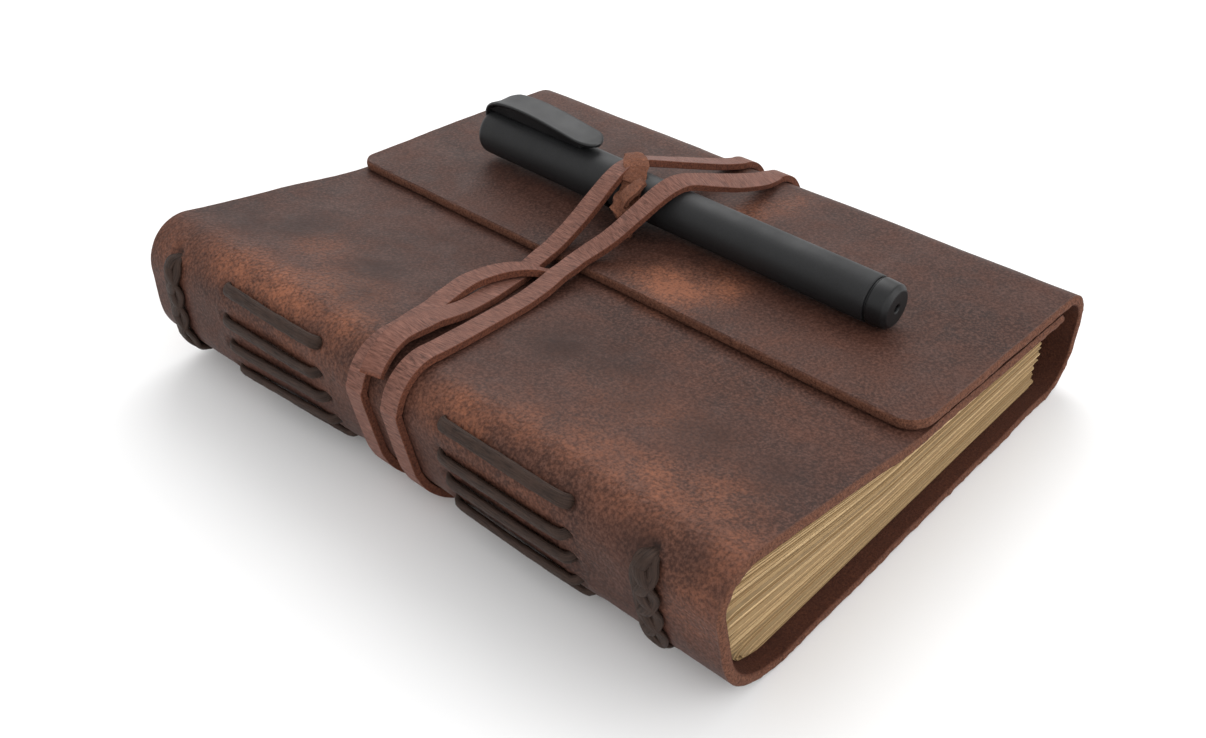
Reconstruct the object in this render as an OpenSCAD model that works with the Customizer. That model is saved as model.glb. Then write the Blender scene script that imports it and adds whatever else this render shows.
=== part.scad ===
// Wrap-around leather sketchbook, closed and tied, with a capped pen held under the strap.
// X runs from the spine to the fore-edge, Y along the spine, Z up. The origin is on the table,
// under the middle of the book. Millimetres.

/* [Leather cover] */
// Length of the leather along the spine
cover_l = 190; // [160:1:220]
// Thickness of the leather
leather_t = 2.8; // [2.6:0.1:3]
// Gap between leather faces that lie on each other
skin_gap = 0.3; // [0.2:0.05:0.4]

/* [Paper] */
// Length of a leaf along the spine
page_l = 182; // [150:1:210]
// Gap between neighbouring folded sections
section_gap = 0.1; // [0.05:0.01:0.2]

/* [Sewing] */
// Length of a long stitch near the near end
near_stitch_l = 38; // [30:1:42]
// Length of a long stitch near the far end
far_stitch_l = 36; // [30:1:40]
// Width of the flat sewing lace
lace_w = 3.2; // [2:0.1:3.6]
// Thickness of the flat sewing lace
lace_t = 1.5; // [1:0.1:1.8]

/* [Strap] */
// Width of the leather strap
strap_w = 5.5; // [4:0.1:6]
// Thickness of the leather strap
strap_t = 2; // [1.6:0.1:2]

/* [Pen] */
// Length of the capped pen
pen_l = 138; // [130:1:140]
// Radius of the barrel
barrel_r = 6.2; // [5.6:0.1:6.2]
// Outside radius of the cap
cap_r = 6.9; // [6.6:0.1:7]
// Length of the cap
cap_l = 50; // [44:1:52]

/* [Hidden] */

$fn = 48;

// The outside of the closed cover, seen from its near end: two arcs at the spine, two at the fore-edge
spine_low = [-54, 22];
spine_low_r = 22;
spine_top = [-68.5, 32.5];
spine_top_r = 10;
fore_low = [66.5, 12];
fore_top = [66.5, 20.3];
fore_r = 12;
// Directions from those arcs' centres at which the arcs meet their neighbours
tangent_angle = 192;
cover_angle = 79.5;
flap_angle = 86.2;
// Outer surface of the front cover and of the flap, from the spine outwards
cover_top = [[-66.3, 42.25], [-12, 32.2], [64, 29.2]];
flap_top = [[-8, 35.3], [15, 35], [67, 32.3]];

// Sections, from the lowest up: the centre of each one's round fold, and the top of the block
section_n = 5;
fold_x = [-57, -66.7, -68.8, -70.2, -69.9];
block_bottom = leather_t + skin_gap;
block_mid_x = -12;
block_fore_x = 65;
block_top = [
    [-66.7, 38.6],
    [block_mid_x, cover_top[1][1] - leather_t - skin_gap],
    [block_fore_x, cover_top[2][1] - leather_t - skin_gap]
];

// Stitching: centre of each group along Y, and the height of each row on the spine
near_stitch_y = -37;
far_stitch_y = 43;
near_chain_y = -77;
far_chain_y = 83;
row_z = [6.5, 13.5, 21.5, 29.5, 37.5];
hole_r = 1.1;
lace_leg_r = 0.9;
stitch_lift = 0.15;
link_l = 9.4;
link_lift = 0.7;
inner_thread_r = 0.6;
thread_clear = 0.3;
fold_to_thread = 1.5;

// Strap: heights above the leather, and where each wrap stands on the fore-edge and the spine
strap_lift = 0.15;
groove_top = strap_t + 0.2;
groove_clear = 0.5;
first_wrap_y = [12, -4];
second_wrap_y = [-1, 8];
groove_fore_x = 70;
groove_spine_x = -60;
groove_past = [5, 5.6];
// Where the wraps cross under the book they are pressed thin: [x of each end] and the slope's run
crossing_x = [32, -27];
crossing_run = 11;
pressed_t = 0.95;
// Directions from the lower arcs' centres at which a wrap leaves the grooves
fore_leave_angle = -56;
spine_leave_angle = 243;
// How high the tail lies where it crosses over the second wrap, the directions from the spine's
// upper arc at which its cut end starts and stops, and where that end is along Y
stacked_z = strap_t + 0.15;
tail_end_angle = [146, cover_angle + 4];
tail_end_y = [6.6, 4.2];

// Pen: its tail end's centre, and how far its cap end is tilted up, where the cap rests
pen_x = 21.5;
pen_tail_y = -70;
pen_z = 40.95;
pen_tilt = 0.9;
pen_seat_l = 3;
pen_plug_l = 6;
barrel_l = pen_l - cap_l;
barrel_wall = 1.2;
plug_fit = 0.1;
plug_shank_l = 4;
grip_r = 4.6;
grip_l = 22;
grip_cone_l = 7;
nose_r = 2.2;
refill_r = 2.6;
refill_start = 12;
tip_r = 1.3;
tip_l = 10;
point_l = 2.6;
cap_end_l = 3;
cap_end_draw = 1.6;
// Clip: its width, the straight length of its tongue, and how far it is turned towards +X
clip_w = 10;
clip_l = 32.5;
clip_t = 1.5;
clip_turn = 4;
clip_rise = 2;
clip_foot_l = 5.6;
clip_inset = 4;

// Strap's fixed end on the flap: [x, y] of the upright piece and of the knot, and their sizes
root_at = [10.4, 9.6];
root_h = 6.6;
root_lean = [0, 14, -12];
root_lift = 0.55;
knot_at = [8.2, 6.4];
knot_turn = 24;
knot_size = [2.6, 3, 2.4];

function arc(centre, r, from, to, n) =
    [for (i = [0 : n]) let (a = from + (to - from) * i / n) centre + r * [cos(a), sin(a)]];

// Height of a polyline at x
function level(line, x, i = 0) =
    i >= len(line) - 2 || x <= line[i + 1][0]
        ? line[i][1] + (line[i + 1][1] - line[i][1]) * (x - line[i][0]) / (line[i + 1][0] - line[i][0])
        : level(line, x, i + 1);

// Spine outline at a depth inside the outer surface, from the bottom up
function spine_line(depth) = concat(
    arc(spine_low, spine_low_r - depth, 270, tangent_angle, 14),
    arc(spine_top, spine_top_r - depth, tangent_angle, cover_angle, 14));

// Fore-edge outline at a depth inside the outer surface, from the bottom up
function fore_line(depth) = concat(
    arc(fore_low, fore_r - depth, -90, 0, 12),
    arc(fore_top, fore_r - depth, 0, flap_angle, 12));

function reversed(list) = [for (i = [len(list) - 1 : -1 : 0]) list[i]];

// Outward direction of the spine's surface at a height: the two arcs, with a straight flank between
function spine_angle(z) =
    z < spine_low[1] + spine_low_r * sin(tangent_angle)
        ? 180 - asin((z - spine_low[1]) / spine_low_r)
        : z > spine_top[1] + spine_top_r * sin(tangent_angle)
            ? 180 - asin((z - spine_top[1]) / spine_top_r)
            : tangent_angle;

function spine_x(z) =
    z < spine_low[1] + spine_low_r * sin(tangent_angle)
        ? spine_low[0] + spine_low_r * cos(spine_angle(z))
        : z > spine_top[1] + spine_top_r * sin(tangent_angle)
            ? spine_top[0] + spine_top_r * cos(spine_angle(z))
            : spine_low[0] + spine_low_r * cos(tangent_angle)
                - (z - spine_low[1] - spine_low_r * sin(tangent_angle)) * tan(tangent_angle - 180);

module along_y(length) {
    rotate([90, 0, 0])
        translate([0, 0, -length / 2])
            linear_extrude(length) children();
}

// ---------- leather ----------

module strap_grooves() {
    for (y = [first_wrap_y, second_wrap_y]) {
        w = strap_w / 2 + groove_clear;
        slope = (y[0] - y[1]) / (groove_fore_x - groove_spine_x);
        x = [groove_fore_x + groove_past[0], groove_spine_x - groove_past[1]];
        ends = [y[0] + slope * groove_past[0], y[1] - slope * groove_past[1]];
        translate([0, 0, -1])
            linear_extrude(groove_top + 1)
                polygon([[x[0], ends[0] - w], [x[0], ends[0] + w], [x[1], ends[1] + w], [x[1], ends[1] - w]]);
    }
}

module front_cover() {
    color("#5b3a2e")
        along_y(cover_l)
            polygon(concat(cover_top, [for (p = reversed(cover_top)) p - [0, leather_t]]));
}

module flap() {
    color("#5b3a2e")
        along_y(cover_l)
            polygon(concat(flap_top, [for (p = reversed(flap_top)) p - [0, leather_t]]));
}

module back_cover() {
    color("#5b3a2e")
        difference() {
            translate([spine_low[0], -cover_l / 2, 0])
                cube([fore_low[0] - spine_low[0], cover_l, leather_t]);
            strap_grooves();
        }
}

module spine_leather() {
    color("#6b4230")
        difference() {
            along_y(cover_l)
                polygon(concat(spine_line(0), reversed(spine_line(leather_t))));
            strap_grooves();
            for (row = row_z) {
                for (y = [
                    near_stitch_y - near_stitch_l / 2, near_stitch_y + near_stitch_l / 2,
                    far_stitch_y - far_stitch_l / 2, far_stitch_y + far_stitch_l / 2])
                    on_spine(row, y)
                        translate([0, 0, -leather_t - 1]) cylinder(r = hole_r, h = leather_t + 2);
            }
        }
}

module fore_edge_wrap() {
    color("#5b3a2e")
        difference() {
            along_y(cover_l)
                polygon(concat(fore_line(0), reversed(fore_line(leather_t))));
            strap_grooves();
        }
}

// ---------- paper ----------

// Height at x of the face between section k and the one under it
function boundary(k, x) = block_bottom + (level(block_top, x) - block_bottom) * k / section_n;

function middle(k, x) = (boundary(k, x) + boundary(k + 1, x)) / 2;

module section_profile(k) {
    x = fold_x[k];
    r = middle(k, x) - boundary(k, x) - section_gap / 2;
    polygon(concat(
        arc([x, middle(k, x)], r, 90, 270, 12),
        [for (x = [block_mid_x, block_fore_x]) [x, boundary(k, x) + section_gap / 2]],
        [for (x = [block_fore_x, block_mid_x]) [x, boundary(k + 1, x) - section_gap / 2]]));
}

module section(k) {
    color("#d9c48f")
        difference() {
            along_y(page_l) section_profile(k);
            thread_run(k) cylinder(r = inner_thread_r + thread_clear, h = page_l + 2, center = true);
        }
}

module thread_run(k) {
    x = fold_x[k] + fold_to_thread;
    translate([x, 0, middle(k, x)])
        rotate([90, 0, 0]) children();
}

module section_1() { section(0); }
module section_2() { section(1); }
module section_3() { section(2); }
module section_4() { section(3); }
module section_5() { section(4); }

// ---------- sewing ----------

// Puts its children on the spine's outer surface at a row's height, with +Z outwards
module on_spine(z, y) {
    translate([spine_x(z), y, z])
        rotate([0, 90 - spine_angle(z), 0]) children();
}

module lace(length) {
    linear_extrude(lace_t)
        union() {
            square([lace_w, length - lace_w], center = true);
            for (s = [-1, 1])
                translate([0, s * (length - lace_w) / 2]) circle(d = lace_w);
        }
}

module long_stitches(y, length) {
    color("#3a302a")
        for (row = row_z)
            on_spine(row, y) {
                translate([0, 0, stitch_lift]) lace(length + lace_w);
                for (s = [-1, 1])
                    translate([0, s * length / 2, -leather_t])
                        cylinder(r = lace_leg_r, h = leather_t + 0.5);
            }
}

module long_stitches_near() { long_stitches(near_stitch_y, near_stitch_l); }
module long_stitches_far() { long_stitches(far_stitch_y, far_stitch_l); }

// Links that climb from row to row, each one leaning the other way
module chain_stitch(y) {
    link_z = [for (i = [0 : 3]) (row_z[i] + row_z[i + 1]) / 2];
    color("#3a302a")
        for (i = [0 : len(link_z) - 1])
            on_spine(link_z[i], y)
                translate([0, 0, link_lift])
                    rotate([0, 0, 90])
                        lace(link_l);
}

module chain_stitch_near() { chain_stitch(near_chain_y); }
module chain_stitch_far() { chain_stitch(far_chain_y); }

module inner_threads() {
    color("#3a302a")
        for (k = [0 : section_n - 1])
            thread_run(k) cylinder(r = inner_thread_r, h = far_chain_y - near_chain_y, center = true);
}

// ---------- strap ----------

// Flat strap swept along points of its underside, [x, y, z], which go clockwise round the book.
// Its thickness is the same all along, unless thick lists one for each point.
module strap(points, thick = []) {
    n = len(points);
    t = [for (i = [0 : n - 1]) len(thick) == n ? thick[i] : strap_t];
    tangent = [for (i = [0 : n - 1])
        let (v = points[min(i + 1, n - 1)] - points[max(i - 1, 0)]) v / norm(v)];
    out = [for (t = tangent) let (v = cross(t, [0, 1, 0])) v / norm(v)];
    side = [for (i = [0 : n - 1]) cross(out[i], tangent[i]) * strap_w / 2];
    ring = [for (i = [0 : n - 1]) each [
        points[i] - side[i],
        points[i] + side[i],
        points[i] + side[i] + out[i] * t[i],
        points[i] - side[i] + out[i] * t[i]
    ]];
    sides = [for (i = [0 : n - 2]) for (j = [0 : 3])
        let (a = 4 * i + j, b = 4 * i + (j + 1) % 4)
            each [[a, b, b + 4], [a, b + 4, a + 4]]];
    color("#7a4a34")
        polyhedron(ring, concat([[3, 2, 1, 0]], sides, [[4 * n - 4, 4 * n - 3, 4 * n - 2, 4 * n - 1]]));
}

// One wrap from the top of the fore-edge, under the book, to the top of the spine. pressed_z is
// the height of its upper side where it is pressed thin.
module wrap(y, pressed_z) {
    slope = (y[0] - y[1]) / (groove_fore_x - groove_spine_x);
    full_z = strap_t + 0.1;
    fore = concat(
        reversed(arc(fore_top, fore_r + strap_lift, 0, flap_angle - 1, 8)),
        arc(fore_low, fore_r + strap_lift, -8, fore_leave_angle, 5));
    under = [
        [groove_fore_x, full_z, strap_t],
        [crossing_x[0] + crossing_run, full_z, strap_t],
        [crossing_x[0], pressed_z, pressed_t],
        [crossing_x[1], pressed_z, pressed_t],
        [crossing_x[1] - crossing_run, full_z, strap_t],
        [groove_spine_x, full_z, strap_t]
    ];
    spine = concat(
        arc(spine_low, spine_low_r + strap_lift, spine_leave_angle, tangent_angle, 7),
        arc(spine_top, spine_top_r + strap_lift, tangent_angle, cover_angle + 1, 9));
    strap(
        concat(
            [for (p = fore) [p[0], y[0], p[1]]],
            [for (p = under) [p[0], y[0] + slope * (p[0] - groove_fore_x), p[1]]],
            [for (p = spine) [p[0], y[1], p[1]]]),
        concat(
            [for (p = fore) strap_t],
            [for (p = under) p[2]],
            [for (p = spine) strap_t]));
}

module strap_wrap_first() { wrap(first_wrap_y, pressed_t + 0.1); }
module strap_wrap_second() { wrap(second_wrap_y, 2 * pressed_t + 0.2); }

// The stretch on the front cover: [x, y, height above the leather]
function on_cover(points) =
    [for (p = points) [p[0], p[1], level(cover_top, p[0]) + strap_lift + p[2]]];

module strap_turns_on_cover() {
    strap(on_cover([
        [-66, -4, 0.1], [-58, -2.6, 0], [-46, -0.4, 0], [-34, 1.8, 0], [-24, 3.7, 0.5],
        [-17, 5, 1.5], [-13.2, 5.7, 2.3]]));
    strap(on_cover([
        [-66, 8, 0.1], [-60, 10, 0], [-52, 12.4, 0], [-44, 14, 0.8], [-36, 14.8, 2.3],
        [-30, 14.6, 2.8], [-24, 13.9, 2.8]]));
}

module strap_tail() {
    strap(on_cover([
        [-65.5, 4.2, stacked_z], [-62, 4.6, stacked_z], [-58, 4.9, 2.1], [-52, 6.4, 0.9],
        [-46, 7.7, 0.1], [-38, 8.9, 0], [-28, 11.2, 0], [-22, 12.8, 0], [-17, 14.1, 1],
        [-13.2, 14.7, 2.2]]));
}

// The cut end of the tail, lying on the second wrap at the top of the spine
module strap_tail_end() {
    n = 6;
    bend = arc(spine_top, spine_top_r + strap_lift + stacked_z, tail_end_angle[0], tail_end_angle[1], n);
    strap([for (i = [0 : n])
        [bend[i][0], tail_end_y[0] + (tail_end_y[1] - tail_end_y[0]) * i / n, bend[i][1]]]);
}

// Over the flap's edge, up over the pen and down to the fore-edge: heights of the underside
pen_bridge = [
    [-11.4, 34.95], [-7, 35.9], [1, 39.3], [8, 43.2], [14, 46.6], [18, 48.2], [21.5, 48.75],
    [25, 48.2], [30, 46.5], [44, 41], [58, 35.4], [67, 32.6]];

// How far along the bridge x is, from 0 to 1
function bridge_share(x) = (x - pen_bridge[0][0]) / (pen_bridge[len(pen_bridge) - 1][0] - pen_bridge[0][0]);

module bridge(y_edge, y_pen, y_fore) {
    strap([for (p = pen_bridge)
        let (s = bridge_share(p[0]))
        [p[0], y_edge * (1 - s) * (1 - s) + 2 * y_pen * s * (1 - s) + y_fore * s * s, p[1]]]);
}

module strap_over_pen() {
    bridge(15, 15, first_wrap_y[0]);
    bridge(6, -8, second_wrap_y[0]);
}

// The strap's fixed end, standing up out of the slit in the flap beside the pen
module strap_root() {
    color("#7a4a34")
        translate([root_at[0], root_at[1], level(flap_top, root_at[0]) + root_lift])
            rotate(root_lean)
                cube([strap_t, strap_w, root_h]);
}

module strap_knot() {
    color("#8a5a3c")
        translate([knot_at[0], knot_at[1], level(flap_top, knot_at[0]) + strap_lift])
            rotate([0, 0, knot_turn])
                cube(knot_size);
}

// ---------- pen ----------

// Turned pieces of the pen: children are drawn from the tail end along the pen's axis
module on_pen(from_tail) {
    translate([pen_x, pen_tail_y, pen_z])
        rotate([pen_tilt - 90, 0, 0])
            translate([0, 0, from_tail]) children();
}

module pen_barrel() {
    color("#26282a")
        on_pen(pen_plug_l)
            difference() {
                cylinder(r = barrel_r, h = barrel_l - pen_plug_l);
                translate([0, 0, -1]) cylinder(r = barrel_r - barrel_wall, h = barrel_l);
            }
}

module pen_seat_ring() {
    color("#26282a")
        on_pen(barrel_l)
            difference() {
                cylinder(r = barrel_r - plug_fit, h = pen_seat_l);
                translate([0, 0, -1]) cylinder(r = grip_r - barrel_wall, h = pen_seat_l + 2);
            }
}

module pen_end_plug() {
    color("#1d1e20")
        on_pen(0)
            difference() {
                union() {
                    cylinder(r1 = barrel_r - 0.8, r2 = barrel_r, h = 1);
                    translate([0, 0, 1]) cylinder(r = barrel_r, h = pen_plug_l - 1);
                    cylinder(r = barrel_r - barrel_wall - plug_fit, h = pen_plug_l + plug_shank_l);
                }
                translate([0, 0, -1]) cylinder(r = 1, h = pen_plug_l);
            }
}

module pen_grip() {
    color("#1d1e20")
        on_pen(barrel_l + pen_seat_l)
            difference() {
                union() {
                    cylinder(r = grip_r, h = grip_l);
                    translate([0, 0, grip_l]) cylinder(r1 = grip_r, r2 = nose_r, h = grip_cone_l);
                }
                translate([0, 0, -1]) cylinder(r = refill_r + 0.2, h = grip_l - 2);
                cylinder(r = tip_r + plug_fit, h = grip_l + 2 * grip_cone_l);
            }
}

module pen_tip() {
    color("#b9bcc0")
        on_pen(barrel_l + pen_seat_l + grip_l - 2) {
            cylinder(r = tip_r, h = tip_l);
            translate([0, 0, tip_l]) cylinder(r1 = tip_r - 0.2, r2 = 0.4, h = point_l);
        }
}

module pen_refill() {
    color("#d8dadc")
        on_pen(refill_start)
            cylinder(r = refill_r, h = barrel_l + pen_seat_l + 5);
}

module pen_cap() {
    color("#26282a")
        on_pen(barrel_l + plug_fit)
            difference() {
                union() {
                    cylinder(r = cap_r, h = cap_l - cap_end_l);
                    translate([0, 0, cap_l - cap_end_l])
                        cylinder(r1 = cap_r, r2 = cap_r - cap_end_draw, h = cap_end_l);
                }
                translate([0, 0, -1]) cylinder(r = barrel_r, h = cap_l - cap_end_l);
            }
}

// Broad clip: a foot on the cap's end and a rounded tongue over its top
module pen_clip() {
    color("#222426")
        on_pen(pen_l - clip_inset)
            rotate([90, 0, clip_turn]) {
                difference() {
                    translate([-clip_w / 2, -clip_inset, cap_r - clip_rise])
                        cube([clip_w, clip_foot_l, clip_t + 2 * clip_rise]);
                    rotate([90, 0, 0]) cylinder(r = cap_r + 0.06, h = 6 * clip_inset, center = true);
                }
                translate([0, 0, cap_r + clip_rise])
                    linear_extrude(clip_t)
                        union() {
                            translate([-clip_w / 2, -clip_l])
                                square([clip_w, clip_l + clip_foot_l - clip_inset]);
                            translate([0, -clip_l]) circle(d = clip_w);
                        }
            }
}

front_cover();
spine_leather();
back_cover();
fore_edge_wrap();
flap();
section_1();
section_2();
section_3();
section_4();
section_5();
inner_threads();
long_stitches_near();
long_stitches_far();
chain_stitch_near();
chain_stitch_far();
strap_wrap_first();
strap_wrap_second();
strap_turns_on_cover();
strap_tail();
strap_tail_end();
strap_over_pen();
strap_root();
strap_knot();
pen_barrel();
pen_end_plug();
pen_seat_ring();
pen_grip();
pen_tip();
pen_refill();
pen_cap();
pen_clip();
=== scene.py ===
import math
import random

import bpy
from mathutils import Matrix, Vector, noise


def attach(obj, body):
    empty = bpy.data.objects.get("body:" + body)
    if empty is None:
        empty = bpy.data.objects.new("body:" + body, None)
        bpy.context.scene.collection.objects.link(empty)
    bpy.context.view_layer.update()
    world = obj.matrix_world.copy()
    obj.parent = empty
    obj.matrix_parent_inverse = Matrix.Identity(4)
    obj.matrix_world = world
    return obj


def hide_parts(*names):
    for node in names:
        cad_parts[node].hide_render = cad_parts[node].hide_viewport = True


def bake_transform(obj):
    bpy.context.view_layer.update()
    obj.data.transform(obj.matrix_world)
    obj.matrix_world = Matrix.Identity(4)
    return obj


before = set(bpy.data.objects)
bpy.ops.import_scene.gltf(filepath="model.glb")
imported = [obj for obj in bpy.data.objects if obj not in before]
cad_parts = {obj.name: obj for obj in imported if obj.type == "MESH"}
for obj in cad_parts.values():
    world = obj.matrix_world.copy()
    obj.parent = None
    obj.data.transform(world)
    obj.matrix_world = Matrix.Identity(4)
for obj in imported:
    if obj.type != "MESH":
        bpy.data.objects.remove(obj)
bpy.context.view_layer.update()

# Lengths are millimetres in the book's own frame: X from the spine to the fore-edge, Y along the
# spine from its near end, Z up. They become metres where a mesh is made.
MM = 0.001

# ---------- sizes ----------

LEATHER = 2.8
HALF_L = 95
GRID = 1.3

SPINE_LOW, SPINE_LOW_R = (-54, 22), 22
SPINE_TOP, SPINE_TOP_R = (-68.5, 32.5), 10
FORE_LOW, FORE_TOP, FORE_R = (66.5, 12), (66.5, 20.3), 12
TANGENT, COVER_ANGLE, FLAP_ANGLE = 192, 79.5, 86.2
COVER_TOP = [(-66.3, 42.25), (-12, 32.2), (64, 29.2)]
FLAP_TOP = [(-8, 35.3), (15, 35), (67, 32.3)]

PAGE_HALF_L = 91
SECTIONS = 5
FOLIOS = 7
FOLD_X = [-57, -66.7, -68.8, -70.2, -69.9]
BLOCK_BOTTOM = 3.1
BLOCK_TOP = [(-66.7, 38.6), (-12, 29.1), (65, 26.1)]
BLOCK_FORE_X = 65

STITCHES = {"near": (-37, 38), "far": (43, 36)}
CHAINS = {"near": -77, "far": 83}
ROWS = [6.5, 13.5, 21.5, 29.5, 37.5]
LACE_W, LACE_T = 3.3, 2.0

STRAP_W, STRAP_T = 5.5, 2.0
STRAP_LIFT = 0.15
FIRST_WRAP = (12, -4)
SECOND_WRAP = (-1, 8)
GROOVE_X = (70, -60)
GROOVE_TOP = 2.15
PRESSED_T = 0.95
# Where the strands part as the flap opens
STRAP_JOIN_X = -10.5
PEN_BRIDGE = [
    (-7, 35.9), (1, 39.3), (8, 43.2), (14, 46.6), (18, 48.2), (21.5, 48.75), (25, 48.2),
    (30, 46.5), (44, 41), (58, 35.6), (67, 32.6)]

# The pen's tail end, and how far its cap end is tilted up, in degrees
PEN_TAIL = Vector((21.5, -70, 40.95))
PEN_TILT = 0.9
PEN_L, CAP_L = 138, 50
BARREL_L = PEN_L - CAP_L
BARREL_R, CAP_R = 6.2, 6.9


# ---------- lines ----------

def arc(centre, radius, start, end, step=4):
    """Points of an arc in the XZ plane, in degrees."""
    n = max(1, round(abs(end - start) / step))
    angles = [math.radians(start + (end - start) * i / n) for i in range(n + 1)]
    return [(centre[0] + radius * math.cos(a), centre[1] + radius * math.sin(a)) for a in angles]


def level(line, x):
    """Height of a line of (x, z) points at x."""
    for (x0, z0), (x1, z1) in zip(line, line[1:]):
        if x <= x1 or (x1, z1) == line[-1]:
            return z0 + (z1 - z0) * (x - x0) / (x1 - x0)


def even(points, step):
    """The same line with its points a step apart."""
    vs = [Vector(p) for p in points]
    lengths = [0]
    for a, b in zip(vs, vs[1:]):
        lengths.append(lengths[-1] + (b - a).length)
    n = max(1, round(lengths[-1] / step))
    out, k = [], 0
    for i in range(n + 1):
        s = lengths[-1] * i / n
        while k < len(vs) - 2 and lengths[k + 1] < s:
            k += 1
        share = (s - lengths[k]) / max(lengths[k + 1] - lengths[k], 1e-9)
        out.append(vs[k].lerp(vs[k + 1], share))
    return out


def relaxed(points, rounds):
    """The line with its corners eased, its ends kept."""
    for _ in range(rounds):
        inner = [(a + b * 2 + c) / 4 for a, b, c in zip(points, points[1:], points[2:])]
        points = [points[0]] + inner + [points[-1]]
    return points


def curved(points, step):
    """A Catmull-Rom curve through points, with its points a step apart."""
    vs = [Vector(p) for p in points]
    vs = [vs[0] * 2 - vs[1]] + vs + [vs[-1] * 2 - vs[-2]]
    out = []
    for a, b, c, d in zip(vs, vs[1:], vs[2:], vs[3:]):
        for i in range(8):
            t = i / 8
            out.append((b * 2 + (c - a) * t + (a * 2 - b * 5 + c * 4 - d) * t ** 2
                        + (b * 3 - a - c * 3 + d) * t ** 3) / 2)
    return even(out + [vs[-2]], step)


def grain(x, y, z, size, seed=0):
    """Smooth noise from -1 to 1 whose features are about size across."""
    return noise.noise(Vector((x / size + seed * 7.3, y / size - seed * 3.1, z / size)))


def bell(distance, width):
    return math.exp(-(distance / width) ** 2)


# ---------- meshes ----------

def make_piece(name, points, faces, material, marks=None, crease=50):
    """A smooth mesh from points in mm. marks are numbers for each point, which materials read."""
    mesh = bpy.data.meshes.new(name)
    mesh.from_pydata([Vector(p) * MM for p in points], [], faces)
    mesh.validate()
    rest = mesh.attributes.new("at_rest", "FLOAT_VECTOR", "POINT")
    rest.data.foreach_set("vector", [c for p in points for c in p])
    for key, values in (marks or {}).items():
        kind = "FLOAT_VECTOR" if hasattr(values[0], "__len__") else "FLOAT"
        mark = mesh.attributes.new(key, kind, "POINT")
        if kind == "FLOAT":
            mark.data.foreach_set("value", values)
        else:
            mark.data.foreach_set("vector", [c for v in values for c in v])
    mesh.polygons.foreach_set("use_smooth", [True] * len(mesh.polygons))
    mesh.set_sharp_from_angle(angle=math.radians(crease))
    mesh.materials.append(material)
    piece = bpy.data.objects.new(name, mesh)
    bpy.context.scene.collection.objects.link(piece)
    return piece


def tube_faces(rings, ring_n, first=0):
    """Quads between neighbouring rings of points, and a face over each end."""
    faces = []
    for i in range(rings - 1):
        for m in range(ring_n):
            a, b = first + i * ring_n + m, first + i * ring_n + (m + 1) % ring_n
            faces.append((a, a + ring_n, b + ring_n, b))
    faces.append(tuple(first + m for m in range(ring_n)))
    faces.append(tuple(first + (rings - 1) * ring_n + m for m in reversed(range(ring_n))))
    return faces


def heading(path, i):
    return (path[min(i + 1, len(path) - 1)] - path[max(i - 1, 0)]).normalized()


def squared(path, i, side):
    """side made square to path at its point i, and the way up from both."""
    along = heading(path, i)
    up = along.cross(side).normalized()
    return up.cross(along), up


def sweep(path, sides, section, swell=None):
    """Points and faces of a section carried along path. sides are the directions that the
    section's first coordinate takes, and swell scales the section at each point."""
    points = []
    for i, p in enumerate(path):
        side, up = squared(path, i, sides[i])
        k = swell[i] if swell else 1
        points += [p + side * a * k + up * b * k for a, b in section]
    return points, tube_faces(len(path), len(section))


def rounded_strip(width, height, bevel):
    """A flat strip's section from its underside's middle line up, corners eased: (side, up)."""
    w, h, b = width / 2, height, bevel
    return [(-w + b, 0), (0, 0), (w - b, 0), (w, b), (w - 0.04, h / 2), (w, h - b), (w - b, h),
            (0, h), (-w + b, h), (-w, h - b), (-w + 0.04, h / 2), (-w, b)]


def oval(width, height, n):
    """A lace's section: (side, up)."""
    turns = [2 * math.pi * i / n for i in range(n)]
    return [(-width / 2 * math.cos(a), height / 2 * math.sin(a)) for a in turns]


# ---------- materials ----------

def add(tree, kind, inputs=None, **settings):
    """A shader node. Each input is a number, a colour or another node's output."""
    node = tree.nodes.new("ShaderNode" + kind)
    for key, value in settings.items():
        setattr(node, key, value)
    for key, value in (inputs or {}).items():
        if isinstance(value, bpy.types.NodeSocket):
            tree.links.new(value, node.inputs[key])
        else:
            node.inputs[key].default_value = value
    return node


def new_material(name, **constants):
    material = bpy.data.materials.new(name)
    material.use_nodes = True
    shader = material.node_tree.nodes["Principled BSDF"]
    for key, value in constants.items():
        shader.inputs[key.replace("_", " ")].default_value = value
    return material, material.node_tree, shader


def mark(tree, name):
    """A point attribute of the mesh, by name."""
    return add(tree, "Attribute", attribute_name=name)


def cloud(tree, where, size, detail=3, rough=0.5, stretch=(1, 1, 1), warp=0):
    """Noise whose features are about size mm across."""
    scale = tuple(s / size for s in stretch)
    place = add(tree, "Mapping", {"Vector": where, "Scale": scale})
    return add(tree, "TexNoise", {
        "Vector": place.outputs[0], "Scale": 1, "Detail": detail, "Roughness": rough,
        "Distortion": warp}).outputs[0]


def cells(tree, where, size):
    """Soft round cells about size mm across."""
    place = add(tree, "Mapping", {"Vector": where, "Scale": (1 / size,) * 3})
    return add(tree, "TexVoronoi", {"Vector": place.outputs[0], "Scale": 1},
               feature="SMOOTH_F1").outputs["Distance"]


def spread(tree, value, low, high, to_low=0.0, to_high=1.0):
    """value from low to high taken to to_low to to_high, clamped."""
    return add(tree, "MapRange", {
        0: value, 1: low, 2: high, 3: to_low, 4: to_high}).outputs[0]


def maths(tree, kind, a, b):
    return add(tree, "Math", {0: a, 1: b}, operation=kind).outputs[0]


def mix(tree, share, a, b):
    return add(tree, "Mix", {0: share, 6: a, 7: b}, data_type="RGBA").outputs[2]


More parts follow.
